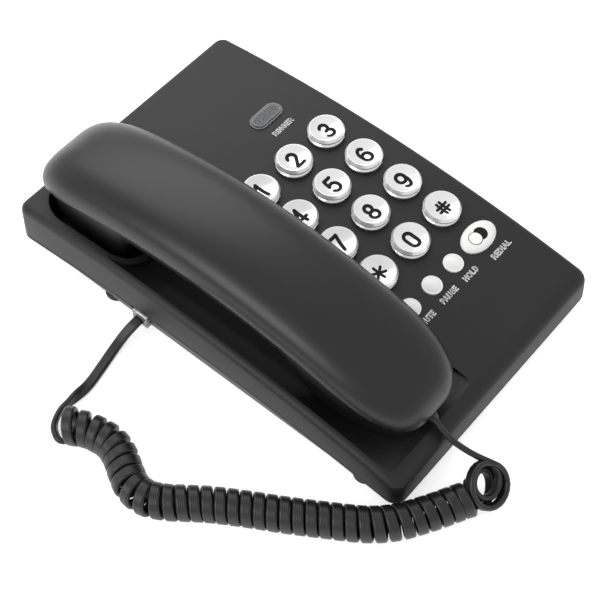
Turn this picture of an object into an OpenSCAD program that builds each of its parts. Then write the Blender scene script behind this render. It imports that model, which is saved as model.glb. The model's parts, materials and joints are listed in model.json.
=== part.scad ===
// Corded desk and wall telephone: arched base, bowed handset in a cradle on the left,
// twelve round keys, four function buttons, curly handset cord.
// Frame: X to the right, Y to the back, Z up, origin under the middle of the base on the desk.

/* [Base] */
// Height of the crest of the arched top
crest_z = 28.9; // [28:0.1:34]
// How far the arched top drops from its crest to the front edge
front_drop = 11.07; // [8:0.01:14]
// Distance of the crest behind the middle of the base
crest_y = 21; // [0:1:40]
// Height of the lower edge at the front and the back
edge_z = 5.25; // [5.2:0.05:6.5]
// Rise of the lower edge in the middle of each side
edge_rise = 6.4; // [6.4:0.1:8]
// Radius of the four upright corners
corner_r = 5.5; // [4:0.5:8]
// Radius of the rolled top edge
roll_r = 3; // [2:0.1:4]
// How much wider the roll runs in at the front
front_roll = 2; // [1:0.1:2.5]
// Wall of the mouldings of the base
wall = 2.2; // [1.8:0.1:2.8]
// Depth of the bottom cover's visible lip under the parting line
lip_h = 1.8; // [1.8:0.1:2.5]
// How far the bottom cover tapers in
taper = 3; // [2:0.1:4]

/* [Cradle] */
// Width of the rim beside the cradle
rim_w = 3.2; // [2.6:0.1:5]
// Depth of the hand trough under the arched top
trough_depth = 7; // [5:0.1:8]
// Height of the cradle's pads that carry the handset
seat_z = 15.7; // [15:0.1:17]
// Thickness of the ridge between ear pocket and trough
ridge_w = 2.8; // [2.4:0.1:3.2]
// How far the ridge's crest stays under the arched top
ridge_drop = 3.2; // [2:0.1:4]

/* [Keypad] */
// Diameter of a dial key
key_d = 15.6; // [12:0.1:17]
// Distance between key columns
pitch_x = 21; // [19:0.1:22]
// Distance between key rows
pitch_y = 20.25; // [18.5:0.05:21]
// Height of a dial key's rim over the cover
key_h = 3.9; // [3.5:0.1:4.4]
// Depth of a dial key's dished face
key_dish = 1.5; // [0.8:0.1:1.8]
// Diameter of a round function button
small_d = 8.5; // [7:0.1:10]
// Length of the oval redial button
redial_l = 18.6; // [14:0.2:19]
// Width of the oval redial button
redial_w = 12; // [9:0.2:12.4]
// Travel of keys and buttons
travel = 1.3; // [1:0.05:1.5]
// Clearance between a moving piece and its opening, per side
gap = 0.3; // [0.25:0.01:0.4]

/* [Handset] */
// Length of the handset
hs_l = 192; // [184:0.5:200]
// Width of the handset
hs_w = 46.5; // [45:0.5:48]
// Height of the handset's rim in its middle
rim_top = 47; // [45:0.5:52]
// How far the handset's rim drops from its middle to its ends
rim_drop = 18.15; // [15:0.05:20]
// Height of the outer shell over the rim
shell_h = 13; // [10:0.5:16]
// Depth of the inner shell at the grip
grip_h = 8; // [7:0.5:10]
// Wall of the handset's shells
hs_wall = 2; // [1.6:0.1:2.4]
// Lift of the handset off its cradle
lift = 60; // [40:5:80]
// Rise of the hook plunger when the handset is lifted
hook_rise = 4; // [3:0.25:5]

/* [Cord] */
// Diameter of a cord tail
cord_d = 4.4; // [4:0.1:4.6]
// Outer diameter of the curly cord's coil
coil_d = 14; // [12:0.5:16]
// Width of a handset plug
plug_w = 7.65; // [7.6:0.01:7.7]

/* [Hidden] */
$fn = 48;

black = "#1b1b1d";
satin = "#141415";
silver = "#c9ccd0";
pearl = "#d8d8d6";
clear = "#d5dadd";
grey = "#55565a";
green = "#1f5a38";
gold = "#c8a24a";

// ---- size of the base, from the handset beside the keypad ----
// from the last key column to the right side
key_margin = 19;
// from the ear pocket to the first key column
key_gap = 10.7;
// from the cradle's rim to the ear pocket
pocket_edge = 2.6;
pocket_w = hs_w + 4;
base_w = rim_w + pocket_edge + pocket_w + key_gap + 2 * pitch_x + key_margin;
base_l = hs_l + 8;
// radius of a circular arch that drops by h over the length l on each side of its crest
function arch_radius(l, h) = (l * l + h * h) / (2 * h);
arch_r = arch_radius(base_l / 2 + crest_y, front_drop);
bow_r = arch_radius(hs_l / 2, rim_drop);

// ---- arches of the base ----
// height of a circular arch of radius r whose crest is at (y0, z0)
function arch(y, y0, z0, r) = z0 - r + sqrt(r * r - (y - y0) * (y - y0));
function top_z(y) = arch(y, crest_y, crest_z, arch_r);
edge_r = arch_radius(base_l / 2, edge_rise);
function edge_low(y) = arch(max(-base_l / 2, min(base_l / 2, y)), 0, edge_z + edge_rise, edge_r);
function parting(y) = edge_low(y) + lip_h;
function top_tilt(y) = -asin((y - crest_y) / arch_r);

// ---- lofts: a station is [y, left x, right x]; a ring is the stations at some height ----
// rounded rectangle from x0 to x1 and y0 to y1, front corners rf, back corners rb;
// n steps round each corner, mid steps between the corners
function plan(x0, x1, y0, y1, rf, rb, n = 6, mid = 14) = concat(
    [for (k = [0:n]) let (a = 90 * k / n, s = rf * (1 - sin(a)))
        [y0 + rf * (1 - cos(a)), x0 + s, x1 - s]],
    [for (k = [1:mid - 1]) [y0 + rf + (y1 - rb - y0 - rf) * k / mid, x0, x1]],
    [for (k = [n:-1:0]) let (a = 90 * k / n, s = rb * (1 - sin(a)))
        [y1 - rb * (1 - cos(a)), x0 + s, x1 - s]]);
function ring(st, z) = concat(
    [for (s = st) [s[1], s[0], z(s[0])]],
    [for (k = [len(st) - 1:-1:0]) [st[k][2], st[k][0], z(st[k][0])]]);
function flat_z(h) = function(y) h;

// solid through a stack of rings, lowest first
module loft(rings) {
    n = len(rings[0]);
    m = n / 2;
    top = (len(rings) - 1) * n;
    sides = [for (k = [0:len(rings) - 2], i = [0:n - 1]) let (
        a = k * n + i, b = k * n + (i + 1) % n) each [[a, b, b + n], [a, b + n, a + n]]];
    lower = [for (j = [0:m - 2]) each [[j, n - 1 - j, n - 2 - j], [j, n - 2 - j, j + 1]]];
    upper = [for (j = [0:m - 2]) each [[top + j, top + j + 1, top + n - 2 - j],
        [top + j, top + n - 2 - j, top + n - 1 - j]]];
    polyhedron([for (r = rings) each r], concat(sides, lower, upper));
}

// plan of the base shrunk by d on the sides and back and by df at the front
function base_plan(d, df, mid = 18) = plan(-base_w / 2 + d, base_w / 2 - d,
    -base_l / 2 + df, base_l / 2 - d, max(corner_r - d, 0.6), max(corner_r - d, 0.6), 5, mid);
roll_angles = [0, 25, 50, 72, 90];
groove = 0.35;
draft = 0.6;

module base_outer() {
    loft(concat(
        [ring(base_plan(groove, groove), function(y) parting(y)),
         ring(base_plan(0, 0), function(y) parting(y) + groove)],
        [for (a = roll_angles) let (d = draft + roll_r * (1 - cos(a)))
            ring(base_plan(d, draft + front_roll * roll_r * (1 - cos(a))),
                function(y) top_z(y) - roll_r * (1 - sin(a)))]));
}

module base_inner() {
    d = wall + draft;
    loft([ring(base_plan(d, d, 10), function(y) parting(y) - 1),
        ring(base_plan(d, d + front_roll, 10), function(y) top_z(y) - wall - 1.5),
        ring(base_plan(d + 2, d + 2 * front_roll, 10), function(y) top_z(y) - wall)]);
}

// ---- cradle ----
cradle_x0 = -base_w / 2 + rim_w;
pocket_x0 = cradle_x0 + pocket_edge;
pocket_x1 = pocket_x0 + pocket_w;
hs_x = (pocket_x0 + pocket_x1) / 2;
ear_y1 = base_l / 2 - 4.5;
ear_y0 = ear_y1 - 55.2;
front_y = -base_l / 2 + 6.5;
hs_y1 = ear_y1 + 3.8;
hs_y0 = hs_y1 - hs_l;
mouth_in = hs_y0 + 44.2;
pocket_floor = seat_z - 2.7;
// height that cutting tools reach to, clear over the base
reach = crest_z + 11.1;
function smooth(t) = let (u = max(0, min(1, t))) u * u * (3 - 2 * u);
// the trough runs out toward the front edge
run_out = 38;
function bed_z(y) = top_z(y) - trough_depth * (0.12 + 0.88 * smooth((y - front_y) / run_out));
function bed_tilt(y) = atan(bed_z(y + 0.5) - bed_z(y - 0.5));

// trough for the fingers, with a sloping outer wall; grown by g all round
module trough(g) {
    right = pocket_x1 - 1.2;
    back = ear_y0 + 12;
    // t is the share of the way from the bed up to the arched top
    level = function(t) function(y) bed_z(y) - g + (top_z(y) - bed_z(y)) * t;
    out = 11 - min(g, 1) * 4;
    side = function(d, df, r, z)
        ring(plan(cradle_x0 + d - g, right + g, front_y + df - g, back, r, 5, 4, 20), z);
    loft([side(out, 5, 5, level(0)), side(out * 0.62, 2.4, 4, level(0.24)),
        side(0.9, 0.5, 3, level(0.92)), side(0, 0, 3, function(y) top_z(y) + 2),
        side(0, 0, 3, flat_z(reach))]);
}

// deep pocket for the ear cup, round at the front; grown by g all round
pocket_r = 11.5;
pocket_back_r = 17;
pocket_draft = 1.6;
module ear_pocket(g) {
    side = function(d, z) ring(plan(pocket_x0 + d - g, pocket_x1 - d + g, ear_y0 + d - g,
        ear_y1 - d + g, pocket_r - d + g, pocket_back_r - d + g, 7, 5), z);
    loft([side(4, flat_z(pocket_floor - g)), side(pocket_draft, flat_z(pocket_floor + 1.4 - g)),
        side(0.8, function(y) top_z(y) - 1.5), side(0, function(y) top_z(y) + 0.2),
        side(0, flat_z(reach))]);
}

// all that lies under the ridge's crest, which sinks in front of the pocket
module under_crest() {
    st = plan(-base_w / 2, pocket_x1 + 5, ear_y0 - 8, ear_y1, 1, 1, 1, 24);
    loft([ring(st, flat_z(0)),
        ring(st, function(y) top_z(y) - ridge_drop * (1 - smooth((y - ear_y0) / 12)))]);
}

module cradle_cut() {
    difference() {
        trough(0);
        intersection() {
            ear_pocket(ridge_w);
            under_crest();
        }
    }
    ear_pocket(0);
}

// ---- keypad layout ----
col_x = function(i) base_w / 2 - key_margin - pitch_x * (2 - i);
fn_y = -base_l / 2 + 44;
row_y = function(j) fn_y + 18.75 + pitch_y * (3 - j);
key_flange = 0.9;
key_depth = wall + key_flange + 1.2;
redial_x = col_x(2);
hold_x = redial_x - 17;
pause_x = hold_x - 14;
mute_x = pause_x - 14;
small_h = 1.6;

// stands its children on the arched top at (x, y), square to the surface
module on_top(x, y) {
    translate([x, y, top_z(y)]) rotate([top_tilt(y), 0, 0]) children();
}

module oval(l, w, h) {
    for (s = [-1, 1]) translate([s * (l - w) / 2, 0, 0]) cylinder(d = w, h = h);
    translate([-(l - w) / 2, -w / 2, 0]) cube([l - w, w, h]);
}

// stations of an ellipse, long along x
function ellipse_plan(l, w) = [for (k = [-7:7]) let (h = l / 2 * cos(12 * k))
    [w / 2 * sin(12 * k), -h, h]];
module ellipse(l, w, z0, z1) {
    loft([ring(ellipse_plan(l, w), flat_z(z0)), ring(ellipse_plan(l, w), flat_z(z1))]);
}

module key_holes() {
    for (i = [0:2], j = [0:3])
        on_top(col_x(i), row_y(j)) translate([0, 0, -8]) cylinder(d = key_d + 2 * gap, h = 16);
    for (x = [hold_x, pause_x, mute_x])
        on_top(x, fn_y) translate([0, 0, -8]) cylinder(d = small_d + 2 * gap, h = 16);
    on_top(redial_x, fn_y) ellipse(redial_l + 2 * gap, redial_w + 2 * gap, -8, 8);
}

// ---- ringer lamp ----
lens_x = col_x(1) + 12.5;
lens_y = row_y(0) + 26;
lens_l = 17;
lens_w = 8.4;

// ---- jacks, switches and plugs ----
board_z = 15.2;
board_t = 1.6;
floor_t = 2.2;
feet_z = 2;
jack_y = base_l / 2 - 70;
plug_h = 6.4;
plug_len = 12;
plug_fit = 0.05;
jack_wall = 1;
jack_w = plug_w + 2 * (plug_fit + jack_wall);
jack_h = plug_h + 2 * plug_fit + 1.7;
jack_z = parting(jack_y + jack_w / 2) - 0.05 - jack_h / 2;
plug_out = 0.8;
line_x = base_w / 2 - 22;
line_z = 13;
line_w = 9.8;
line_h = 6.6;
line_d = plug_len + 1;
switch_x = [col_x(0) + 1, col_x(0) + 18];
switch_z = board_z + 3.1;
back_inside = base_l / 2 - wall - draft;
knob_w = 5;
knob_h = 3;
switch_throw = 2.5;

// ---- handset form ----
bow_y = (hs_y0 + hs_y1) / 2 + 1.7;
function rim_z(y) = arch(y, bow_y, rim_top, bow_r);
shell_n = 2.5;
cup_floor = seat_z + gap;
// depth of the inner shell under the rim: shallow at the grip, down to the cups at both ends
ear_start = ear_y0 + 2;
ear_in = ear_y0 + 5;
function ear_share(y) = smooth((y - ear_start) / 10);
function mouth_share(y) = smooth((mouth_in + 14 - y) / 16);
// lower surface of the inner shell, or of its hollow when g is the wall
function inner_low(y, g = 0) = let (e = ear_share(y - g), m = mouth_share(y + g))
    (rim_z(y) - grip_h) * (1 - e - m) + cup_floor * e + (bed_z(y) + gap) * m + g;
// half width of the ear pocket near its floor at y, and of the cup that goes into it
function pocket_half(y) = let (r = pocket_r - pocket_draft,
    s = min(1, max(0, (y - ear_y0 - pocket_draft) / r)))
    pocket_w / 2 - pocket_draft - r * (1 - sqrt(1 - pow(1 - s, 2)));
function cup_half(y) = pocket_half(max(y, ear_y0 + 6)) - 0.8;

// the outline rounds in over its last stretch at both ends, as a superellipse
mouth_run = 42.7;
mouth_n = 3.3;
ear_run = 44.3;
ear_n = 4;
end_angles = [84, 79, 73, 65, 55, 43, 30, 20, 12, 6, 2, 0];
grip_y = [mouth_in + 12.5, ear_start - 3.3];
hs_mids = concat([for (d = [0.5, 4.5, 8.5]) mouth_in + d],
    [for (k = [0:5]) grip_y[0] + (grip_y[1] - grip_y[0]) * k / 5],
    [for (d = [-1.3, 0.7, 2.7, 4.7, 6.7, 8.7, 11.7]) ear_start + d]);
function end_half(a, n) = pow(cos(a), 2 / n);
function end_share(a, n) = pow(sin(a), 2 / n);
// outline of the handset, drawn in by d at the sides, dy0 at the mouth end and dy1 at the ear end
function hs_plan(d, dy0, dy1) = let (half = hs_w / 2 - d) concat(
    [for (a = end_angles) let (h = half * end_half(a, mouth_n))
        [hs_y0 + mouth_run - (mouth_run - dy0) * end_share(a, mouth_n), hs_x - h, hs_x + h]],
    [for (y = hs_mids) [y, hs_x - half, hs_x + half]],
    [for (k = [len(end_angles) - 1:-1:0]) let (a = end_angles[k], h = half * end_half(a, ear_n))
        [hs_y1 - ear_run + (ear_run - dy1) * end_share(a, ear_n), hs_x - h, hs_x + h]]);
// share of the shell's height at inset d from its edge
function dome(d, half) = pow(1 - pow(1 - d / half, shell_n), 1 / shell_n);
shell_insets = [0.15, 0.9, 2.4, 4.8, 8.2, 12.6, 17.6];

module outer_form(g, insets) {
    half = hs_w / 2 - g;
    low = g > 0 ? -3 : 0;
    loft(concat([ring(hs_plan(g + 0.5, g + 0.5, g + 0.5), function(y) rim_z(y) + low)],
        [ring(hs_plan(g, g, g), function(y) rim_z(y) + low + 0.6)],
        [for (d = insets) ring(hs_plan(g + d, g + d, g + d),
            function(y) rim_z(y) + 1 + (shell_h - 1 - g) * dome(d, half))]));
}

// the mouth cup draws in by mouth_inset at its widest; the ear cup follows its pocket's round front
inner_step = 0.8;
mouth_inset = 1;
back_inset = 4.4;
function drawn_in(st, t, g) = [for (s = st) let (
    h = (s[2] - hs_x) * (1 - mouth_share(s[0]) * t * mouth_inset / (hs_w / 2)),
    w = t < 0.5 ? 0 : smooth((s[0] - ear_start) / 4),
    half = h * (1 - w) + min(h, cup_half(s[0]) - g) * w)
    [s[0], hs_x - half, hs_x + half]];
module inner_form(g) {
    d0 = inner_step + g;
    low = function(t) function(y) rim_z(y) + (inner_low(y, g) - rim_z(y)) * t;
    layer = function(d, t) ring(drawn_in(hs_plan(d0 + d, d0 + d + mouth_inset * t,
        d0 + d + back_inset * min(1, t / 0.35)), t, g), low(t));
    loft([layer(4.9, 1), layer(2.2, 0.93), layer(0.9, 0.7), layer(0.3, 0.35),
        ring(hs_plan(d0, d0, d0), function(y) rim_z(y) + (g > 0 ? 2 : 0))]);
}

// ---- screws and posts of the base ----
screw_at = [[base_w / 2 - 6.6, base_l / 2 - 16], [base_w / 2 - 6.6, -base_l / 2 + 36],
    [cradle_x0 + 10.8, 10], [cradle_x0 + 10.8, -base_l / 2 + 38]];
boss_d = 7;
post_z = board_z - board_t;
screw_d = 3;
head_d = 6;
head_h = 2;
head_z = feet_z + 1.2;
foot_at = [for (x = [-1, 1], y = [base_l / 2 - 49, -base_l / 2 + 20]) [x * (base_w / 2 - 7.3), y]];
foot_r = 5.2;
foot_sink = 0.6;
post_at = [[col_x(0) + 1, fn_y - 4], [col_x(2) + 1, fn_y - 4], [col_x(0) + 1, row_y(0) + 6.5],
    [col_x(2) + 1, base_l / 2 - 24]];
hang_pitch = 84;
hang_x = col_x(0) + 1;
hang_slot = 10;
hang_r = 2.4;
hook_at = [hs_x, (ear_y0 + ear_y1) / 2];
hook_size = [12, 7];
ear_y = (ear_in + hs_y1) / 2;

// top of a screw's bore, clear of the cradle's bed
function bore_z(p) = let (z = post_z + 3.6) p[0] < 0 ? min(z, bed_z(p[1]) - 1.2) : z;

module columns(list, d, z0, z1) {
    for (p = list) translate([p[0], p[1], z0]) cylinder(d = d, h = z1 - z0, $fn = 32);
}

module back_openings() {
    for (x = switch_x)
        translate([x - knob_w / 2 - switch_throw - gap, base_l / 2 - 8, switch_z - knob_h / 2 - gap])
            cube([knob_w + 2 * (switch_throw + gap), 20, knob_h + 2 * gap]);
    translate([line_x - line_w / 2, base_l / 2 - 8, line_z - line_h / 2]) cube([line_w, 20, line_h]);
    translate([line_x - 2, base_l / 2 - 8, line_z + line_h / 2 - 1]) cube([4, 20, 2.4]);
}

module top_cover() {
    color(black) difference() {
        base_outer();
        difference() {
            base_inner();
            trough(wall);
            ear_pocket(wall);
            columns(screw_at, boss_d, post_z, reach);
        }
        cradle_cut();
        key_holes();
        on_top(lens_x, lens_y) translate([0, 0, -8]) oval(lens_l + 0.1, lens_w + 0.1, 16);
        translate([hook_at[0] - hook_size[0] / 2 - gap, hook_at[1] - hook_size[1] / 2 - gap, 0])
            cube([hook_size[0] + 2 * gap, hook_size[1] + 2 * gap, 20]);
        back_openings();
        for (p = screw_at) columns([p], screw_d, 0, bore_z(p));
    }
    // pads that carry the ear cup
    color(black) for (x = [-1, 1])
        translate([hs_x + x * 12 - 1.5, hook_at[1] - 9, pocket_floor])
            cube([3, 18, seat_z - pocket_floor]);
}

module bottom_cover() {
    color(black) difference() {
        union() {
            difference() {
                loft([ring(base_plan(taper, taper), flat_z(feet_z)),
                    ring(base_plan(groove, groove), function(y) edge_low(y)),
                    ring(base_plan(0, 0), function(y) edge_low(y) + groove),
                    ring(base_plan(0, 0), function(y) parting(y) - groove),
                    ring(base_plan(groove, groove), function(y) parting(y))]);
                loft([ring(base_plan(taper + wall, taper + wall, 10), flat_z(feet_z + floor_t)),
                    ring(base_plan(wall + draft, wall + draft, 10), function(y) parting(y) + 1)]);
            }
            columns(concat(screw_at, post_at), boss_d, feet_z + 1, post_z);
        }
        columns(foot_at, 2 * foot_r + 0.2, 0, feet_z + foot_sink);
        columns(screw_at, screw_d + 0.4, 0, reach);
        columns(screw_at, head_d + 0.6, 0, head_z + head_h);
        // keyholes for hanging on a wall plate
        for (y = [-1, 1]) translate([hang_x, y * hang_pitch / 2, 0]) {
            for (s = [-1, 1]) translate([0, s * (hang_slot / 2 - hang_r), 0]) cylinder(r = hang_r, h = 8);
            translate([-hang_r, -hang_slot / 2 + hang_r, 0]) cube([2 * hang_r, hang_slot - 2 * hang_r, 8]);
        }
        // opening of the handset cord's jack
        translate([-base_w / 2 - 5, jack_y - jack_w / 2 - 0.1, jack_z - jack_h / 2 - 0.05])
            cube([14, jack_w + 0.2, jack_h + 2]);
    }
}

module base_feet() {
    color(grey) for (p = foot_at) translate([p[0], p[1], 0]) {
        cylinder(r = foot_r, h = feet_z + foot_sink);
    }
}

module base_screws() {
    color(silver) for (p = screw_at) translate([p[0], p[1], head_z]) {
        cylinder(d = head_d, h = head_h, $fn = 32);
        cylinder(d = screw_d, h = bore_z(p) - 0.2 - head_z, $fn = 32);
    }
}

board_x0 = pocket_x1 + wall + 1.2;
board_x1 = col_x(2) + 8.6;
board_y0 = fn_y - 9.5;
board_y1 = back_inside - 1.2;

module main_board() {
    color(green) difference() {
        translate([board_x0, board_y0, post_z]) cube([board_x1 - board_x0, board_y1 - board_y0, board_t]);
        translate([line_x - line_w / 2 - 1.5, back_inside - line_d - 0.3, 0])
            cube([line_w + 3, line_d + 10, reach]);
    }
}

mat_top = key_depth + travel + 0.3;
mat_skin = 1.4;
module mat_dome(x, y, d) {
    on_top(x, y) translate([0, 0, -mat_top - mat_skin - 0.6])
        cylinder(d1 = d + 3.4, d2 = d, h = mat_skin + 0.6);
}

module keypad_mat() {
    st = plan(board_x0, board_x1, board_y0 + 0.5, row_y(0) + 11, 3, 3, 3, 10);
    color("#6b6c6e") {
        loft([ring(st, flat_z(board_z)), ring(st, function(y) top_z(y) - mat_top - mat_skin)]);
        for (i = [0:2], j = [0:3]) mat_dome(col_x(i), row_y(j), 9);
        for (x = [redial_x, hold_x, pause_x, mute_x]) mat_dome(x, fn_y, 5);
    }
}

module ringer_lens() {
    color(clear) on_top(lens_x, lens_y) {
        translate([0, 0, -wall - 0.5]) oval(lens_l, lens_w, wall + 1);
        oval(lens_l - 1.8, lens_w - 1.8, 1.1);
        translate([0, 0, -wall - 0.9]) oval(lens_l + 2, lens_w + 2, 0.8);
    }
}

module ringer_lamp() {
    lamp_h = top_z(lens_y) - wall - 1.4 - board_z;
    color("#d8dcc8") translate([lens_x, lens_y, board_z]) {
        cylinder(d = 6, h = 1.2, $fn = 32);
        cylinder(d = 5, h = lamp_h - 2.5, $fn = 32);
        translate([0, 0, lamp_h - 2.5]) sphere(d = 5, $fn = 32);
    }
}

module buzzer() {
    color("#222225") translate([board_x0 + 16.4, base_l / 2 - 34, board_z]) difference() {
        cylinder(d = 22, h = 6);
        translate([0, 0, 5]) cylinder(d = 4, h = 3);
    }
}

lever_z = feet_z + floor_t + 0.9;
module hook_switch() {
    color("#3a3a3d") translate([hook_at[0] + 9, hook_at[1] - 7, feet_z + floor_t]) cube([9, 14, 5.4]);
    color(gold) translate([hook_at[0] - 4, hook_at[1] - 2, lever_z]) cube([14, 4, 0.4]);
}

module switch_bodies() {
    color("#3a3a3d") for (x = switch_x)
        translate([x - 6.5, back_inside - 6.1, switch_z - 3]) difference() {
            cube([13, 6, 5.4]);
            translate([6.5 - knob_w / 2 - switch_throw - gap, 3.4, 3 - knob_h / 2 - gap])
                cube([knob_w + 2 * (switch_throw + gap), 5, knob_h + 2 * gap]);
        }
}

module slide_knob(x) {
    color(silver) translate([x - knob_w / 2, back_inside - 2.4, switch_z - knob_h / 2]) {
        cube([knob_w, 4.5, knob_h]);
        for (s = [-1.2, 0, 1.2]) translate([knob_w / 2 + s - 0.25, 4.4, 0]) cube([0.5, 0.6, knob_h]);
    }
}
module ringer_switch() { slide_knob(switch_x[0]); }
module dial_mode_switch() { slide_knob(switch_x[1] - switch_throw); }

// socket for a handset plug: mouth at the origin, opening toward -X
module plug_socket(depth) {
    difference() {
        translate([0, -jack_w / 2, -jack_h / 2]) cube([depth, jack_w, jack_h]);
        translate([-1, -plug_w / 2 - plug_fit, -plug_h / 2 - plug_fit])
            cube([depth - 1, plug_w + 2 * plug_fit, plug_h + 2 * plug_fit]);
    }
}

// handset plug: nose toward +X, cord face at the origin
module plug() {
    color(clear) {
        difference() {
            translate([0, -plug_w / 2, -plug_h / 2]) cube([plug_len, plug_w, plug_h]);
            for (s = [-1.5:1:1.5])
                translate([plug_len - 3, s * 1.27 - 0.3, plug_h / 2 - 1]) cube([4, 0.6, 2]);
        }
    }
}

base_jack_x = -base_w / 2 + 2.2;
module base_jack() {
    color("#2a2a2c") translate([base_jack_x, jack_y, jack_z]) plug_socket(plug_len + 1);
}
module base_plug() {
    translate([-base_w / 2 - plug_out, jack_y, jack_z]) plug();
}

module line_jack() {
    color("#2a2a2c") translate([line_x, back_inside - 0.1, line_z]) {
        difference() {
            translate([-line_w / 2 - 1.4, -line_d, -line_h / 2 - 1.4])
                cube([line_w + 2.8, line_d, line_h + 2.8]);
            translate([-line_w / 2, -line_d + 1.6, -line_h / 2]) cube([line_w, line_d, line_h]);
        }
        for (s = [-1.5:1:1.5]) translate([s * 1.27 - 0.25, -line_d + 1, line_h / 2 - 0.4])
            cube([0.5, 8, 0.6]);
    }
}

// ---- keys and buttons ----
// shallow dome of diameter d and height h over the origin plane
module dome_cap(d, h) {
    r = (d * d / 4 + h * h) / (2 * h);
    intersection() {
        translate([0, 0, h - r]) sphere(r = r, $fn = 96);
        cylinder(d = d, h = h + 1);
    }
}

// sleeve in the opening up to height h, with the flange that holds it and the stem to the mat
module key_sleeve(d, h) {
    under = wall + 0.15;
    translate([0, 0, -under]) cylinder(d = d, h = under + h);
    translate([0, 0, -under - key_flange]) cylinder(d = d + 4 * gap, h = key_flange);
    translate([0, 0, -key_depth]) cylinder(d = d * 0.6, h = key_depth - under);
}

// a dial key's bevelled skirt, its neck, and its cap with a dished face inside the rim
skirt_h = 0.9;
neck_in = 0.7;
cap_z = 1.6;
cap_out = 0.2;
cap_wall = 0.6;
rim_flat = 0.4;
module dial_cap() {
    neck_d = key_d - 2 * neck_in;
    cap_d = key_d + 2 * cap_out;
    bevel_z = cap_z + 0.5 + cap_wall;
    face_d = cap_d - 2 * (key_h - bevel_z) * 0.7;
    dish_r = face_d / 2 - rim_flat;
    dish_ball = (dish_r * dish_r + key_dish * key_dish) / (2 * key_dish);
    translate([0, 0, 0.3]) cylinder(d1 = key_d, d2 = neck_d, h = skirt_h - 0.3);
    difference() {
        union() {
            cylinder(d = neck_d, h = cap_z + 0.5);
            translate([0, 0, cap_z]) cylinder(d1 = neck_d, d2 = cap_d, h = 0.5);
            translate([0, 0, cap_z + 0.5]) cylinder(d = cap_d, h = cap_wall);
            translate([0, 0, bevel_z]) cylinder(d1 = cap_d, d2 = face_d, h = key_h - bevel_z);
        }
        translate([0, 0, key_h - key_dish + dish_ball]) sphere(r = dish_ball, $fn = 96);
    }
}

module dial_key(n) {
    color(silver) on_top(col_x(n % 3), row_y(floor(n / 3))) {
        key_sleeve(key_d, 0.3);
        dial_cap();
    }
}

small_step = 0.5;
module small_button(x) {
    color(pearl) on_top(x, fn_y) {
        key_sleeve(small_d, small_step);
        translate([0, 0, small_step]) dome_cap(small_d - 1.2, small_h - small_step);
    }
}

module redial_button() {
    under = wall + 0.15;
    layer = function(d, z) ring(ellipse_plan(redial_l - 2 * d, redial_w - 2 * d), flat_z(z));
    color(pearl) on_top(redial_x, fn_y) {
        loft([layer(0, -under), layer(0, 0.35), layer(0.35, 0.8), layer(1.2, 1.25), layer(2.4, 1.5),
            layer(4, 1.6)]);
        ellipse(redial_l + 4 * gap, redial_w + 4 * gap, -under - key_flange, -under);
        translate([0, 0, -key_depth]) cylinder(d = 6, h = key_depth - under);
    }
}

module key_1() { dial_key(0); }
module key_2() { dial_key(1); }
module key_3() { dial_key(2); }
module key_4() { dial_key(3); }
module key_5() { dial_key(4); }
module key_6() { dial_key(5); }
module key_7() { dial_key(6); }
module key_8() { dial_key(7); }
module key_9() { dial_key(8); }
module key_star() { dial_key(9); }
module key_0() { dial_key(10); }
module key_hash() { dial_key(11); }
module mute_button() { small_button(mute_x); }
module pause_button() { small_button(pause_x); }
module hold_button() { small_button(hold_x); }

hook_top = seat_z;
module hook_plunger() {
    flange_z = pocket_floor - wall - hook_rise - gap;
    color(grey) translate([hook_at[0], hook_at[1], 0]) {
        translate([-hook_size[0] / 2, -hook_size[1] / 2, flange_z])
            cube([hook_size[0], hook_size[1], hook_top - flange_z]);
        translate([-hook_size[0] / 2 - 1.5, -hook_size[1] / 2, flange_z - 1])
            cube([hook_size[0] + 3, hook_size[1], 1]);
    }
}

// ---- handset ----
hs_screw_y = [ear_start - 14.3, mouth_in + 20.5];
hs_boss_d = 7.4;
module handset_outer() {
    color(satin) {
        difference() {
            union() {
                difference() {
                    outer_form(0, shell_insets);
                    outer_form(hs_wall, [0.4, 3.6, 9.4, 16]);
                }
                intersection() {
                    for (y = hs_screw_y) translate([hs_x, y, rim_z(y) + 0.1])
                        cylinder(d = hs_boss_d, h = shell_h, $fn = 32);
                    outer_form(0, shell_insets);
                }
            }
            for (y = hs_screw_y) translate([hs_x, y, rim_z(y) - 1]) cylinder(d = 2.6, h = 9, $fn = 32);
        }
    }
}

module handset_inner() {
    color(satin) difference() {
        union() {
            difference() {
                inner_form(0);
                inner_form(hs_wall);
            }
            intersection() {
                for (y = hs_screw_y) translate([hs_x, y, rim_z(y) - grip_h - 1])
                    cylinder(d = hs_boss_d, h = grip_h + 2, $fn = 32);
                inner_form(0);
            }
            // ribs under the cord's socket
            in_handset_end() for (s = [-3.4, 2.4]) translate([s, 2, -jack_h / 2 - 0.1 - rib_h])
                cube([1, 10, rib_h]);
        }
        for (y = hs_screw_y) translate([hs_x, y, 0]) {
            cylinder(d = 3, h = 80, $fn = 32);
            cylinder(d = 5.6, h = rim_z(y) - 3, $fn = 32);
        }
        // sound holes of the receiver and the microphone
        translate([hs_x, ear_y, 0]) for (k = [0:5]) rotate([0, 0, 60 * k + 30])
            translate([6, 0, 0]) cylinder(d = 2.2, h = 22, $fn = 24);
        translate([hs_x, ear_y, 0]) cylinder(d = 2.2, h = 22, $fn = 24);
        for (k = [-1:1]) translate([hs_x + 4 * k, mic_y, 0]) cylinder(d = 1.8, h = 22, $fn = 24);
        // mouth of the cord's socket
        in_handset_end() translate([-plug_w / 2 - 0.4, -hs_jack_in - 3, -plug_h / 2 - 0.4])
            cube([plug_w + 0.8, hs_jack_in + 3.2, plug_h + 0.8]);
    }
}

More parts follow.
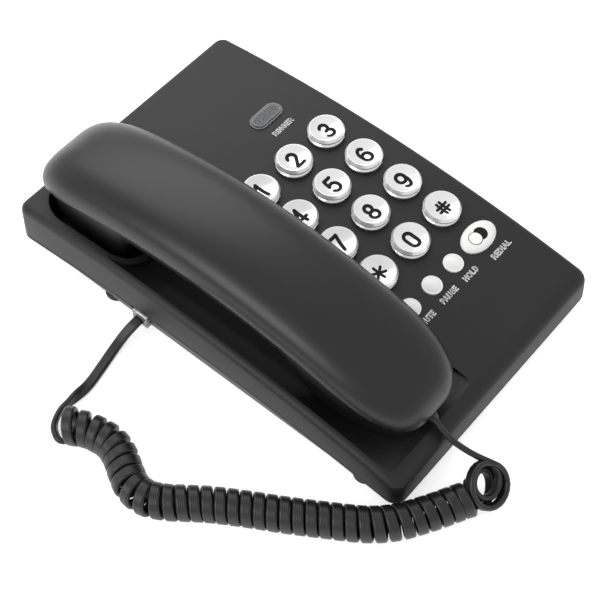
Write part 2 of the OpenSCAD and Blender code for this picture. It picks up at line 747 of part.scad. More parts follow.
// room between the handset's side and the receiver
receiver_room = 8.75;
receiver_d = hs_w - 2 * receiver_room;
module receiver_ring() {
    color("#303033") translate([hs_x, ear_y, cup_floor + hs_wall + 0.02]) difference() {
        cylinder(d = receiver_d, h = 1);
        translate([0, 0, -1]) cylinder(d = receiver_d - 6, h = 4);
    }
}
module receiver() {
    color(silver) translate([hs_x, ear_y, cup_floor + hs_wall + 1.04]) {
        cylinder(d = receiver_d, h = 4);
        cylinder(d = 18, h = 7);
    }
}

mic_y = hs_y0 + 30.7;
// stands its children on the floor of the mouth cup
module in_mouth(h) {
    translate([hs_x, mic_y, bed_z(mic_y) + gap + hs_wall + 0.5]) rotate([bed_tilt(mic_y), 0, 0])
        translate([0, 0, h]) children();
}
module mic_boot() {
    color("#303033") in_mouth(0) difference() {
        cylinder(d = 13, h = 6);
        translate([0, 0, 1]) cylinder(d = 9.7, h = 8);
        translate([0, 0, -1]) cylinder(d = 6, h = 4);
    }
}
module microphone() {
    color(silver) in_mouth(1) cylinder(d = 9.6, h = 6.5);
}

module handset_weight() {
    weight_y = [hs_screw_y[1] + 11, hs_screw_y[0] - 11];
    color("#8d9096") translate([hs_x - 8, weight_y[0], rim_z(bow_y) - grip_h + hs_wall + 0.05])
        cube([16, weight_y[1] - weight_y[0], 5]);
}

module handset_screws() {
    color(silver) for (y = hs_screw_y) translate([hs_x, y, rim_z(y) - 3 - 1.8]) {
        cylinder(d = 5, h = 1.8, $fn = 32);
        cylinder(d = 2.55, h = 11, $fn = 32);
    }
}

// the socket leans with the shell: mouth at the origin, opening toward -Y
hs_jack_in = 9;
hs_jack_tilt = 7;
hs_jack_z = rim_z(hs_y0) - 2.7;
hs_plug_back = 7;
rib_h = 2;
module in_handset_end() {
    translate([hs_x, hs_y0 + hs_jack_in, hs_jack_z]) rotate([hs_jack_tilt, 0, 0]) children();
}
module handset_jack() {
    color("#2a2a2c") in_handset_end() rotate([0, 0, 90]) plug_socket(plug_len + 1);
}
module handset_plug() {
    in_handset_end() translate([0, -hs_plug_back, 0]) rotate([0, 0, 90]) plug();
}
hs_into = [0, cos(hs_jack_tilt), sin(hs_jack_tilt)];
hs_exit = [hs_x, hs_y0 + hs_jack_in, hs_jack_z] - hs_plug_back * hs_into;

// ---- cord ----
// routes are the middle of the cord; each begins at a plug or at the coil's end
base_route = [[-base_w / 2 - plug_out, jack_y, jack_z], [-69, 30.2, 8], [-75, 30, 5], [-83, 29.3, 2.8],
    [-92, 28, 2.3], [-101, 27.5, 2.3], [-110, 28.6, 2.3], [-117, 29.5, 2.3], [-121, 27, 3],
    [-119.5, 22, 5]];
coil_route = [[-119.5, 22, 7], [-116, 15.5, 7], [-113, 8.5, 7], [-112.3, 1, 7], [-114, -6, 7],
    [-117.5, -12.5, 7], [-120.5, -19, 7], [-120.5, -26, 7], [-117, -33, 7], [-112.5, -39, 7],
    [-107, -46.5, 7], [-99.5, -58.5, 7], [-92.5, -70.5, 7], [-85, -82.5, 7], [-76.5, -95.5, 7],
    [-68.8, -103.4, 7], [-59.2, -109.8, 7], [-49, -115.5, 7], [-41, -119.5, 7.6], [-36, -122, 10.5]];
handset_route = [[-36, -122, 10.5], [-32.5, -120, 13.5], [-31.8, -113, 16.2], [-32.2, -105, 19.2],
    [-32.6, -98, 21.8], [hs_x, -94, 23.6], hs_exit];

function unit(v) = v / norm(v);
function heading(r, k) = k == 0 ? unit(r[1] - r[0]) : k == len(r) - 1 ? unit(r[k] - r[k - 1])
    : unit(unit(r[k + 1] - r[k]) + unit(r[k] - r[k - 1]));

// tube of diameter d along a route; t0 and t1 give the first and last heading where set
module tube(route, d, sides, t0 = undef, t1 = undef) {
    m = len(route);
    points = [for (k = [0:m - 1]) let (
        t = k == 0 && !is_undef(t0) ? unit(t0) : k == m - 1 && !is_undef(t1) ? unit(t1) : heading(route, k),
        side = unit(cross(t, [0, 0, 1])), up = cross(side, t))
        for (i = [0:sides - 1]) let (a = 360 * (i + 0.5) / sides)
            route[k] + d / 2 / cos(180 / sides) * (cos(a) * side + sin(a) * up)];
    around = [for (k = [0:m - 2], i = [0:sides - 1]) let (
        a = k * sides + i, b = k * sides + (i + 1) % sides)
        each [[a, b + sides, a + sides], [a, b, b + sides]]];
    polyhedron(points, concat(around, [[for (i = [sides - 1:-1:0]) i]],
        [[for (i = [0:sides - 1]) (m - 1) * sides + i]]));
}

coil_in = coil_route[1] - coil_route[0];
coil_out = coil_route[len(coil_route) - 1] - coil_route[len(coil_route) - 2];
module cord_tail_base() { color("#1f1f21") tube(base_route, cord_d, 8, [-1, 0, 0], coil_in); }
module cord_coil() { color("#1f1f21") tube(coil_route, coil_d, 12, coil_in, coil_out); }
module cord_tail_handset() { color("#1f1f21") tube(handset_route, cord_d, 8, coil_out, hs_into); }

top_cover();
bottom_cover();
base_feet();
base_screws();
main_board();
keypad_mat();
ringer_lens();
ringer_lamp();
buzzer();
hook_switch();
switch_bodies();
base_jack();
line_jack();
key_1();
key_2();
key_3();
key_4();
key_5();
key_6();
key_7();
key_8();
key_9();
key_star();
key_0();
key_hash();
mute_button();
pause_button();
hold_button();
redial_button();
hook_plunger();
ringer_switch();
dial_mode_switch();
handset_outer();
handset_inner();
receiver();
receiver_ring();
microphone();
mic_boot();
handset_weight();
handset_screws();
handset_jack();
base_plug();
cord_tail_base();
cord_coil();
cord_tail_handset();
handset_plug();
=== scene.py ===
"""Looks of the corded telephone: finishes, print, the curly cord, camera, floor and light."""
import json
import math

import bpy
from mathutils import Matrix, Vector


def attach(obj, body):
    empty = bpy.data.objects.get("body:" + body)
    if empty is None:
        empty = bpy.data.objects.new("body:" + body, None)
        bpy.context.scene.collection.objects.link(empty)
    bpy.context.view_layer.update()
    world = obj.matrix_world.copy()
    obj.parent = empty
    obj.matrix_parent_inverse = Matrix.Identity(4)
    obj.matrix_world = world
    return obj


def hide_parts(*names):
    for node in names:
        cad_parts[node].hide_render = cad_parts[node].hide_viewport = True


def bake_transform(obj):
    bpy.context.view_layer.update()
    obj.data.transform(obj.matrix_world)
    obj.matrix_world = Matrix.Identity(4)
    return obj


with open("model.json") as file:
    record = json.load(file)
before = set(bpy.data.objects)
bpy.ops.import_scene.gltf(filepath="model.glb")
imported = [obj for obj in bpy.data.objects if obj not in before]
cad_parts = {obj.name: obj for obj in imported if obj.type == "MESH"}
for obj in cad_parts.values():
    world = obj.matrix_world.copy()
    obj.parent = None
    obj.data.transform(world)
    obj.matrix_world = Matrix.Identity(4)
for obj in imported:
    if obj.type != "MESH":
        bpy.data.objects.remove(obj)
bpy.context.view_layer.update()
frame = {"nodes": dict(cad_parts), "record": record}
MM = 0.001

# ---------------------------------------------------------------- camera
# frame's width and focal length in pixels, and the sensor's width in millimetres
PHOTO, FOCAL_PX, SENSOR = 600, 1428.8, 36
CAMERA_AT = Vector((-265.97, -221.88, 488.05)) * MM
CAMERA_TO = Vector((-22.93, -18.93, 21.0)) * MM


def add_camera():
    data = bpy.data.cameras.new("camera")
    data.sensor_width = SENSOR
    data.lens = SENSOR * FOCAL_PX / PHOTO
    data.clip_start = 0.01
    cam = bpy.data.objects.new("camera", data)
    bpy.context.collection.objects.link(cam)
    cam.location = CAMERA_AT
    cam.rotation_euler = (CAMERA_TO - CAMERA_AT).to_track_quat("-Z", "Y").to_euler()
    bpy.context.scene.camera = cam


# ---------------------------------------------------------------- materials
# the part of a noise's output that is spread over a material's roughness and over its colours
NOISE_RANGE = (0.25, 0.75)
TINT_RANGE = (0.3, 0.7)


def node_material(name):
    mat = bpy.data.materials.new(name)
    mat.use_nodes = True
    tree = mat.node_tree
    shader = tree.nodes["Principled BSDF"]
    return mat, tree, shader


def noise(tree, scale, detail=2.0, rough=0.5):
    where = tree.nodes.new("ShaderNodeTexCoord")
    tex = tree.nodes.new("ShaderNodeTexNoise")
    tex.inputs["Scale"].default_value = scale
    tex.inputs["Detail"].default_value = detail
    tex.inputs["Roughness"].default_value = rough
    tree.links.new(where.outputs["Object"], tex.inputs["Vector"])
    return tex


def remap(tree, source, low, high, source_range=(0, 1)):
    """The source's value, spread from its range to low and high."""
    out = tree.nodes.new("ShaderNodeMapRange")
    out.inputs["From Min"].default_value = source_range[0]
    out.inputs["From Max"].default_value = source_range[1]
    out.inputs["To Min"].default_value = low
    out.inputs["To Max"].default_value = high
    tree.links.new(source, out.inputs["Value"])
    return out.outputs["Result"]


def bump(tree, shader, source, distance):
    node = tree.nodes.new("ShaderNodeBump")
    node.inputs["Distance"].default_value = distance
    node.inputs["Strength"].default_value = 1.0
    tree.links.new(source, node.inputs["Height"])
    tree.links.new(node.outputs["Normal"], shader.inputs["Normal"])


def tint(tree, shader, source, dark, light):
    ramp = tree.nodes.new("ShaderNodeValToRGB")
    for end, where, colour in zip(ramp.color_ramp.elements, TINT_RANGE, (dark, light)):
        end.position = where
        end.color = (*colour, 1)
    tree.links.new(source, ramp.inputs["Fac"])
    tree.links.new(ramp.outputs["Color"], shader.inputs["Base Color"])


def vary_roughness(tree, shader, source, rough, by):
    out = remap(tree, source, rough - by, rough + by, NOISE_RANGE)
    tree.links.new(out, shader.inputs["Roughness"])


def plastic(name, dark, light, rough, spread_rough=0.03, grain=900, depth=0.0, specular=0.5):
    """Moulded plastic: colour and roughness vary a little, and grain sets the fine texture's scale."""
    mat, tree, shader = node_material(name)
    broad = noise(tree, scale=60, detail=3)
    tint(tree, shader, broad.outputs["Fac"], dark, light)
    fine = noise(tree, scale=grain, detail=3, rough=0.6)
    vary_roughness(tree, shader, fine.outputs["Fac"], rough, spread_rough)
    shader.inputs["Specular IOR Level"].default_value = specular
    if depth:
        bump(tree, shader, fine.outputs["Fac"], depth)
    return mat


def metal(name, dark, light, rough, spread_rough=0.02, share=1.0):
    """Bare or plated metal; a share under 1 is a silver lacquer."""
    mat, tree, shader = node_material(name)
    shader.inputs["Metallic"].default_value = share
    broad = noise(tree, scale=120)
    tint(tree, shader, broad.outputs["Fac"], dark, light)
    fine = noise(tree, scale=1500)
    vary_roughness(tree, shader, fine.outputs["Fac"], rough, spread_rough)
    return mat


def clear(name, colour, rough, transmission, shade=0.94, ior=1.49):
    """Clear acrylic, whose colour varies down to a shade of itself."""
    mat, tree, shader = node_material(name)
    fine = noise(tree, scale=400)
    tint(tree, shader, fine.outputs["Fac"], [shade * c for c in colour], colour)
    shader.inputs["Transmission Weight"].default_value = transmission
    shader.inputs["Roughness"].default_value = rough
    shader.inputs["IOR"].default_value = ior
    return mat


def make_materials():
    """A material for each of the record's slots, and the two inks."""
    return {
        "base_black": plastic("matt_black", (0.004, 0.004, 0.0042), (0.006, 0.006, 0.0062), 0.5,
                              grain=1500, depth=0.00004, specular=0.42),
        "handset_black": plastic("satin_black", (0.003, 0.003, 0.0031), (0.004, 0.004, 0.0042),
                                 0.34, 0.015, grain=2500, depth=0.000006, specular=0.45),
        "key_chrome": metal("silver_plate", (0.78, 0.78, 0.785), (0.84, 0.84, 0.845), 0.24, share=0.6),
        "button_pearl": plastic("pearl_silver", (0.80, 0.80, 0.79), (0.87, 0.87, 0.86), 0.3),
        "clear_lens": clear("clear_lens", (0.30, 0.31, 0.32), 0.2, 0.6),
        "clear_plug": clear("clear_plug", (0.90, 0.92, 0.92), 0.12, 0.85),
        "cord_black": plastic("cord_black", (0.004, 0.004, 0.0042), (0.006, 0.006, 0.0063), 0.38,
                              grain=700),
        "foot_rubber": plastic("foot_rubber", (0.02, 0.02, 0.02), (0.03, 0.03, 0.03), 0.75,
                               depth=0.00003),
        "mat_rubber": plastic("mat_rubber", (0.06, 0.06, 0.06), (0.08, 0.08, 0.08), 0.7),
        "board_green": plastic("board_green", (0.01, 0.06, 0.02), (0.015, 0.09, 0.03), 0.4),
        "lamp_cream": plastic("lamp_cream", (0.66, 0.65, 0.54), (0.72, 0.71, 0.60), 0.35),
        "part_black": plastic("part_black", (0.012, 0.012, 0.013), (0.02, 0.02, 0.021), 0.45),
        "plunger_grey": plastic("plunger_grey", (0.03, 0.03, 0.033), (0.04, 0.04, 0.043), 0.5),
        "switch_silver": plastic("switch_silver", (0.38, 0.38, 0.39), (0.45, 0.45, 0.46), 0.4),
        "capsule": metal("capsule", (0.5, 0.5, 0.5), (0.6, 0.6, 0.6), 0.35),
        "steel": metal("steel", (0.5, 0.51, 0.52), (0.6, 0.61, 0.62), 0.3),
        "ink_black": plastic("ink_black", (0.004, 0.004, 0.004), (0.006, 0.006, 0.006), 0.6,
                             specular=0.2),
        "ink_white": plastic("ink_white", (0.86, 0.86, 0.86), (0.92, 0.92, 0.92), 0.5),
    }


# ---------------------------------------------------------------- smooth shading of the CAD nodes
def smoothing_group(limit_deg=28, same_point=0.00001):
    """Nodes that join equal points and smooth every edge that bends less than the limit."""
    group = bpy.data.node_groups.new("smooth_by_angle", "GeometryNodeTree")
    group.interface.new_socket("Geometry", in_out="INPUT", socket_type="NodeSocketGeometry")
    group.interface.new_socket("Geometry", in_out="OUTPUT", socket_type="NodeSocketGeometry")
    start = group.nodes.new("NodeGroupInput")
    end = group.nodes.new("NodeGroupOutput")
    merge = group.nodes.new("GeometryNodeMergeByDistance")
    merge.inputs["Distance"].default_value = same_point
    angle = group.nodes.new("GeometryNodeInputMeshEdgeAngle")
    sharp = group.nodes.new("FunctionNodeCompare")
    sharp.data_type = "FLOAT"
    sharp.operation = "LESS_EQUAL"
    sharp.inputs["B"].default_value = math.radians(limit_deg)
    faces = group.nodes.new("GeometryNodeSetShadeSmooth")
    faces.domain = "FACE"
    edges = group.nodes.new("GeometryNodeSetShadeSmooth")
    edges.domain = "EDGE"
    link = group.links.new
    link(start.outputs[0], merge.inputs["Geometry"])
    link(merge.outputs["Geometry"], faces.inputs["Geometry"])
    link(faces.outputs["Geometry"], edges.inputs["Geometry"])
    link(angle.outputs["Unsigned Angle"], sharp.inputs["A"])
    link(sharp.outputs["Result"], edges.inputs["Shade Smooth"])
    link(edges.outputs["Geometry"], end.inputs[0])
    return group


def dress_nodes(mats):
    """Gives each CAD node its material and its smooth shading."""
    group = smoothing_group()
    slots = {s["node"]: s["material_slot"] for s in frame["record"]["subparts"]}
    for name, obj in frame["nodes"].items():
        obj.data.materials.clear()
        obj.data.materials.append(mats[slots[name]])
        smooth = obj.modifiers.new("smooth", "NODES")
        smooth.node_group = group


# ---------------------------------------------------------------- forms shared with the CAD
# sizes and places from here on are in millimetres: the top's arch, the keys' grid, the buttons' row
CREST_Y, CREST_Z, ARCH_R = 21, 28.9, 666.83
COLUMNS = [3, 24, 45]
FIRST_ROW, ROW_PITCH, ROW_COUNT, BUTTONS_DROP = 23.5, 20.25, 4, 18.75
ROWS = [FIRST_ROW - ROW_PITCH * j for j in range(ROW_COUNT)]
BUTTONS_Y = ROWS[-1] - BUTTONS_DROP


def top_z(y):
    """Height of the arched top at y."""
    return CREST_Z - ARCH_R + math.sqrt(ARCH_R * ARCH_R - (y - CREST_Y) ** 2)


def top_tilt(y):
    return -math.asin((y - CREST_Y) / ARCH_R)


def on_top(x, y):
    """Matrix of the frame that stands square on the arched top at (x, y)."""
    return Matrix.Translation((x, y, top_z(y))) @ Matrix.Rotation(top_tilt(y), 4, "X")


def metres(point):
    return tuple(c * MM for c in point)


def mesh_object(name, verts, faces, mat, body, smooth=True):
    """A piece made from vertices in millimetres, riding on the body if one is named."""
    mesh = bpy.data.meshes.new(name)
    mesh.from_pydata([metres(v) for v in verts], [], faces)
    mesh.validate()
    for face in mesh.polygons:
        face.use_smooth = smooth
    mesh.materials.append(mat)
    obj = bpy.data.objects.new(name, mesh)
    bpy.context.collection.objects.link(obj)
    if body:
        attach(obj, body)
    return obj


# ---------------------------------------------------------------- cords
# the flat cord's width and thickness, the coil's diameter and pitch, and a turn's steps
CORD_W, CORD_T = 4.6, 2.4
COIL_D, PITCH, STEPS = 14, 4.84, 24
# how far the cord stays over the floor
FLOOR_GAP = 0.06
# the routes follow the CAD's, with the cord's own lie at the two ends of the coil
BASE_ROUTE = [(-64.8, 30, 8.52), (-68, 30.4, 7.7), (-72, 31.4, 5.0), (-76.5, 31.7, 2.6),
              (-82, 31.0, 1.5), (-89.4, 29.4, 1.16), (-98, 27.7, 1.16), (-105.4, 27.3, 1.16),
              (-111.6, 27.6, 1.3), (-116.0, 26.5, 1.9), (-119.7, 24.3, 2.3), (-121.9, 21.1, 2.3),
              (-122.7, 18.2, 2.3)]
COIL_ROUTE = [(-118.4, 19.3), (-116.4, 15.3), (-113.6, 9.5), (-112.3, 1), (-114, -6),
              (-117.5, -12.5), (-120.5, -19), (-120.5, -26), (-117, -33), (-112.5, -39),
              (-107, -46.5), (-99.5, -58.5), (-92.5, -70.5), (-85, -82.5), (-76.5, -95.5),
              (-68.8, -103.4), (-59.2, -109.8), (-49, -115.5), (-42, -119.3), (-37.5, -121.6),
              (-35.1, -124.4)]
# how far the coil's middle rises over its last points
COIL_RISE = {18: 0.3, 19: 1.3, 20: 3.2}
# the coil's middle line: the distance of its points, and how many of them on each side give its heading
AXIS_STEP, HEADING_SPAN = 0.1, 12
# the first turns stand apart and lean back: how far that reaches, and what it adds at the start
OPEN_REACH, OPEN_PITCH, OPEN_R, OPEN_LEAN = 5, 1.6, 0.85, 0.25
# the last turns close up over this length, to less of the pitch, and leave out this part of a turn
END_BEND, END_CLOSER, END_PART = 11, 0.5, 0.65
# the last turn lies round the one before it: its middle, axis and radius,
# how far the two are apart along the axis, and how far the inner one is off the middle
END_MIDDLE = Vector((-36.6, -121.6, 10.8))
END_AXIS = Vector((0.0, -0.70, 0.71)).normalized()
END_R, END_STEP = 8.3, 1.2
END_SHIFT = Vector((0.4, 0.5, 0.8))
# where the axis, the middle and the radius change to the end's, and where the shift fades out:
# the turns that are left before the end, and how many turns the change takes
AXIS_TURNS, MIDDLE_TURNS, RADIUS_TURNS = (4.5, 3.3), (3.4, 2), (1.25, 0.45)
SHIFT_TURNS = (0.5, 0.6)
# the straight run into the first turn, and the distance of the points of the lead and the free end
GUIDE, LEAD_STEP, TAIL_STEP = 3.6, 1.0, 0.9
# how many of the coil's last points belong to the free end
TAIL_START = 4
TAIL_END = [(-31.4, -113.5, 15.3), (-33.0, -107.5, 17.0), (-33.9, -101.5, 19.0), (-33.7, -96, 21.6),
            (-33.1, -93, 23.4), (-32.95, -90.65, 24.6)]
# the direction of the cord's width, by the share of the length of the lead and of the free end;
# at the coil, and over this share of the free end, it is the coil's
TO_CAMERA = Vector((-0.43, -0.36, 0.83))
COIL_SHARE, PAST_END = 0.2, 1.001
LEAD_ACROSS = [(0, (0, 1, 0)), (0.4, (0.05, 1, 0)), (0.8, TO_CAMERA), (0.9, TO_CAMERA)]
TAIL_ACROSS = [(0.5, TO_CAMERA), (0.88, TO_CAMERA), (PAST_END, (-1, 0, 0))]
# points of a smooth line for each span of its route
SPAN_POINTS = 16


def smooth_path(points):
    """Catmull-Rom line through the points."""
    p = [Vector(q) for q in points]
    p = [2 * p[0] - p[1]] + p + [2 * p[-1] - p[-2]]
    out = []
    for i in range(1, len(p) - 2):
        for k in range(SPAN_POINTS):
            t = k / SPAN_POINTS
            a, b, c, d = p[i - 1:i + 3]
            out.append(0.5 * (2 * b + (c - a) * t + (2 * a - 5 * b + 4 * c - d) * t * t
                              + (3 * b - a - 3 * c + d) * t ** 3))
    out.append(p[-2])
    return out


def path_length(points):
    return sum((b - a).length for a, b in zip(points, points[1:]))


def even_path(points, step, least=1e-9):
    """The same line with points a step apart; least keeps an empty span from dividing by 0."""
    total = path_length(points)
    count = max(2, round(total / step))
    goals = [total * k / count for k in range(count + 1)]
    out, run, i = [], 0.0, 0
    for goal in goals:
        while i < len(points) - 2 and run + (points[i + 1] - points[i]).length < goal:
            run += (points[i + 1] - points[i]).length
            i += 1
        span = (points[i + 1] - points[i]).length
        out.append(points[i].lerp(points[i + 1], min(1, (goal - run) / max(span, least))))
    return out


def ribbon_section(cores=4, groove=0.09):
    """Outline of the flat cord, with a ripple over its cores: across, through."""
    r = CORD_T / 2
    flat = CORD_W / 2 - r
    steps = 4 * (cores - 1)
    edge_angles = (117, 144, 180, 216, 243)
    face = [(flat - 2 * flat * k / steps, r - groove * (1 - math.cos(2 * math.pi * k / 4)) / 2)
            for k in range(steps + 1)]
    left = [(-flat + r * math.cos(math.radians(a)), r * math.sin(math.radians(a)))
            for a in edge_angles]
    return face + left + [(-x, -y) for x, y in face] + [(-x, -y) for x, y in left]


def section_axes(points, across, i):
    """Unit vectors along the cord's width and through its thickness at point i."""
    t = (points[min(i + 1, len(points) - 1)] - points[max(0, i - 1)]).normalized()
    w = (across[i] - t * across[i].dot(t)).normalized()
    return w, t.cross(w)


def sweep_ribbon(points, across, name, mat):
    """Flat cord along points; across is the direction of its width at each point."""
    section = ribbon_section()
    n = len(section)
    verts = []
    for i, p in enumerate(points):
        w, v = section_axes(points, across, i)
        verts += [p + w * x + v * y for x, y in section]
    faces = [(i * n + j, i * n + (j + 1) % n, (i + 1) * n + (j + 1) % n, (i + 1) * n + j)
             for i in range(len(points) - 1) for j in range(n)]
    faces.append(tuple(reversed(range(n))))
    faces.append(tuple((len(points) - 1) * n + j for j in range(n)))
    return mesh_object(name, verts, faces, mat, None)


def eased(u):
    """u, kept from 0 to 1, with a soft start and end."""
    u = min(1, max(0, u))
    return u * u * (3 - 2 * u)


def off_floor(points, across):
    """The points, each raised so that the cord's section stays over the floor."""
    out = []
    for i, p in enumerate(points):
        w, v = section_axes(points, across, i)
        least = abs(w.z) * CORD_W / 2 + abs(v.z) * CORD_T / 2 + FLOOR_GAP
        out.append(Vector((p.x, p.y, max(p.z, least))))
    return out


def axis_turns(count, step, opened):
    """The turns made up to each of the axis's points; the last ends where the free end leaves it."""
    turns = [0.0]
    for i in range(1, count):
        bent = eased(1 - (count - 1 - i) * step / END_BEND)
        turns.append(turns[-1] + step / (PITCH * (1 - END_CLOSER * bent) + OPEN_PITCH * opened[i]))
    whole = round(turns[-1] + END_PART) - END_PART
    return [t * whole / turns[-1] for t in turns]


def coil_points():
    """The curly cord's turns round the coil's route: points, and the direction of the width."""
    route = [(x, y, COIL_RISE.get(i, 0)) for i, (x, y) in enumerate(COIL_ROUTE)]
    axis = even_path(smooth_path(route), AXIS_STEP)
    last = len(axis) - 1
    step = (axis[1] - axis[0]).length
    opened = [math.exp(-i * step / OPEN_REACH) for i in range(len(axis))]
    turns = axis_turns(len(axis), step, opened)
    points, across = [], []
    i = 0
    count = round(turns[-1] * STEPS)
    for k in range(count + 1):
        goal = turns[-1] * k / count
        while i < last - 1 and turns[i + 1] < goal:
            i += 1
        left = turns[-1] - goal
        heading = (axis[min(i + HEADING_SPAN, last)] - axis[max(0, i - HEADING_SPAN)]).normalized()
        at_end = eased((AXIS_TURNS[0] - left) / AXIS_TURNS[1])
        heading = heading.lerp(END_AXIS, at_end).normalized()
        side = heading.cross(Vector((0, 0, 1))).normalized()
        lean = OPEN_LEAN * opened[i]
        up = side.cross(heading) * math.sqrt(1 - lean * lean) - heading * lean
        r = COIL_D / 2 - CORD_T / 2 + OPEN_R * opened[i]
        middle = axis[i].lerp(axis[i + 1], min(1, (goal - turns[i]) / (turns[i + 1] - turns[i])))
        middle.z += FLOOR_GAP + CORD_T / 2 + r * up.z + CORD_W / 2 * lean
        back = END_STEP * min(left, 1) + PITCH / 2 * max(0, left - 1)
        shift = END_SHIFT * eased((left - SHIFT_TURNS[0]) / SHIFT_TURNS[1])
        at_end = eased((MIDDLE_TURNS[0] - left) / MIDDLE_TURNS[1])
        middle = middle.lerp(END_MIDDLE - END_AXIS * back + shift, at_end)
        r += (END_R - r) * eased((RADIUS_TURNS[0] - left) / RADIUS_TURNS[1])
        angle = -math.pi / 2 - 2 * math.pi * goal
        points.append(middle + r * (math.cos(angle) * side + math.sin(angle) * up))
        across.append(up.cross(side))
    return points, across


def blend_across(line, keys):
    """Direction of the width along a line, from (share of the line, direction) pairs."""
    out = []
    for i in range(len(line)):
        f = i / (len(line) - 1)
        k = max(j for j in range(len(keys) - 1) if keys[j][0] <= f)
        (f0, w0), (f1, w1) = keys[k], keys[k + 1]
        out.append(Vector(w0).lerp(Vector(w1), eased((f - f0) / (f1 - f0))).normalized())
    return out


def add_curly_cord(turns, across, mat):
    """The lead from the base's plug, and the turns up to the free end."""
    guide = turns[0] - GUIDE * (turns[1] - turns[0]).normalized()
    lead = even_path(smooth_path(BASE_ROUTE + [guide, turns[0]]), LEAD_STEP)[:-1]
    lead_across = blend_across(lead, LEAD_ACROSS + [(PAST_END, across[0])])
    line_across = lead_across + across[:-TAIL_START]
    line = off_floor(lead + turns[:-TAIL_START], line_across)
    piece = sweep_ribbon(line, line_across, "curly_cord", mat)
    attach(piece, "base")
    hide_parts("cord_tail_base", "cord_coil")


def add_free_end(turns, across, mat):
    """The end of the coil and the run from it to the handset's plug."""
    run = smooth_path(turns[-2:] + TAIL_END)[SPAN_POINTS:]
    line = even_path(turns[-TAIL_START - 1:-1] + run, TAIL_STEP)
    line_across = blend_across(line, [(0, across[-1]), (COIL_SHARE, across[-1])] + TAIL_ACROSS)
    piece = sweep_ribbon(line, line_across, "handset_cord", mat)
    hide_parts("cord_tail_handset")
    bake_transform(piece)


# ---------------------------------------------------------------- lettering
def arc(cx, cy, rx, ry, a0, a1, n=18):
    """Points of an oval's arc from angle a0 to a1, in degrees."""
    return [(cx + rx * math.cos(math.radians(a0 + (a1 - a0) * k / n)),
             cy + ry * math.sin(math.radians(a0 + (a1 - a0) * k / n))) for k in range(n + 1)]


# the strokes of each key's character, as lines of (x, y) points, round the middle of a box one unit high
DIGITS = {
    "1": [[(-0.17, 0.30), (0.04, 0.5), (0.04, -0.5)]],
    "2": [arc(0, 0.22, 0.27, 0.28, 165, -25, 14) + [(-0.27, -0.5), (0.29, -0.5)]],
    "3": [arc(-0.01, 0.245, 0.245, 0.255, 150, -80, 14) + [(-0.06, -0.005)],
          [(-0.06, 0.0)] + arc(-0.01, -0.235, 0.285, 0.265, 82, -155, 16)],
    "4": [[(0.10, -0.5), (0.10, 0.5), (-0.30, -0.22), (0.31, -0.22)]],
    "5": [[(0.24, 0.5), (-0.19, 0.5), (-0.245, 0.03)] + arc(0.0, -0.175, 0.29, 0.325, 132, -150, 18)],
    "6": [arc(0, -0.20, 0.28, 0.30, 0, 360, 28),
          [(-0.28, -0.20)] + arc(0.0, 0.06, 0.28, 0.44, 178, 48, 12)],
    "7": [[(-0.28, 0.5), (0.29, 0.5), (-0.09, -0.5)]],
    "8": [arc(0, 0.255, 0.225, 0.245, 0, 360, 26), arc(0, -0.235, 0.275, 0.265, 0, 360, 28)],
    "9": [arc(0, 0.20, 0.28, 0.30, 0, 360, 28),
          [(0.28, 0.20)] + arc(0.0, -0.06, 0.28, 0.44, -2, -132, 12)],
    "star": [[(0, 0), (0.40 * math.cos(math.radians(a)), 0.40 * math.sin(math.radians(a)))]
             for a in (90, 30, -30, -90, -150, 150)],
    "0": [arc(0, 0.22, 0.27, 0.28, 0, 180, 16) + arc(0, -0.22, 0.27, 0.28, 180, 360, 16)
          + [(0.27, 0.22)]],
    "hash": [[(-0.10, -0.40), (-0.10, 0.40)], [(0.14, -0.40), (0.14, 0.40)],
             [(-0.36, 0.13), (0.40, 0.13)], [(-0.38, -0.13), (0.38, -0.13)]],
}
# each letter's advance, and its strokes in a box one unit high that stands on 0
LETTERS = {
    "A": (0.86, [[(0, 0), (0.38, 1), (0.76, 0)], [(0.14, 0.30), (0.62, 0.30)]]),
    "D": (0.84, [[(0.08, 0), (0.08, 1), (0.34, 1)] + arc(0.34, 0.5, 0.34, 0.5, 90, -90, 12)
                 + [(0.08, 0)]]),
    "E": (0.74, [[(0.62, 1), (0.08, 1), (0.08, 0), (0.62, 0)], [(0.08, 0.52), (0.55, 0.52)]]),
    "G": (0.88, [arc(0.42, 0.5, 0.38, 0.5, 45, 330, 18) + [(0.76, 0.45), (0.45, 0.45)]]),
    "H": (0.86, [[(0.08, 0), (0.08, 1)], [(0.70, 0), (0.70, 1)], [(0.08, 0.52), (0.70, 0.52)]]),
    "I": (0.32, [[(0.09, 0), (0.09, 1)]]),
    "L": (0.68, [[(0.08, 1), (0.08, 0), (0.58, 0)]]),
    "M": (0.98, [[(0.08, 0), (0.08, 1), (0.43, 0.25), (0.78, 1), (0.78, 0)]]),
    "N": (0.86, [[(0.08, 0), (0.08, 1), (0.68, 0), (0.68, 1)]]),
    "O": (0.92, [arc(0.42, 0.5, 0.37, 0.5, 0, 360, 26)]),
    "P": (0.78, [[(0.08, 0), (0.08, 1), (0.36, 1)] + arc(0.38, 0.74, 0.28, 0.26, 90, -90, 10)
                 + [(0.08, 0.48)]]),
    "R": (0.82, [[(0.08, 0), (0.08, 1), (0.38, 1)] + arc(0.38, 0.75, 0.28, 0.25, 90, -90, 10)
                 + [(0.08, 0.5)], [(0.40, 0.5), (0.70, 0)]]),
    "S": (0.78, [arc(0.36, 0.745, 0.27, 0.255, 35, 250, 12)
                 + arc(0.36, 0.255, 0.30, 0.255, 75, -150, 12)]),
    "T": (0.74, [[(0.34, 0), (0.34, 1)], [(0.0, 1), (0.68, 1)]]),
    "U": (0.86, [[(0.08, 1), (0.08, 0.36)] + arc(0.39, 0.36, 0.31, 0.36, 180, 360, 12)
                 + [(0.70, 1)]]),
}


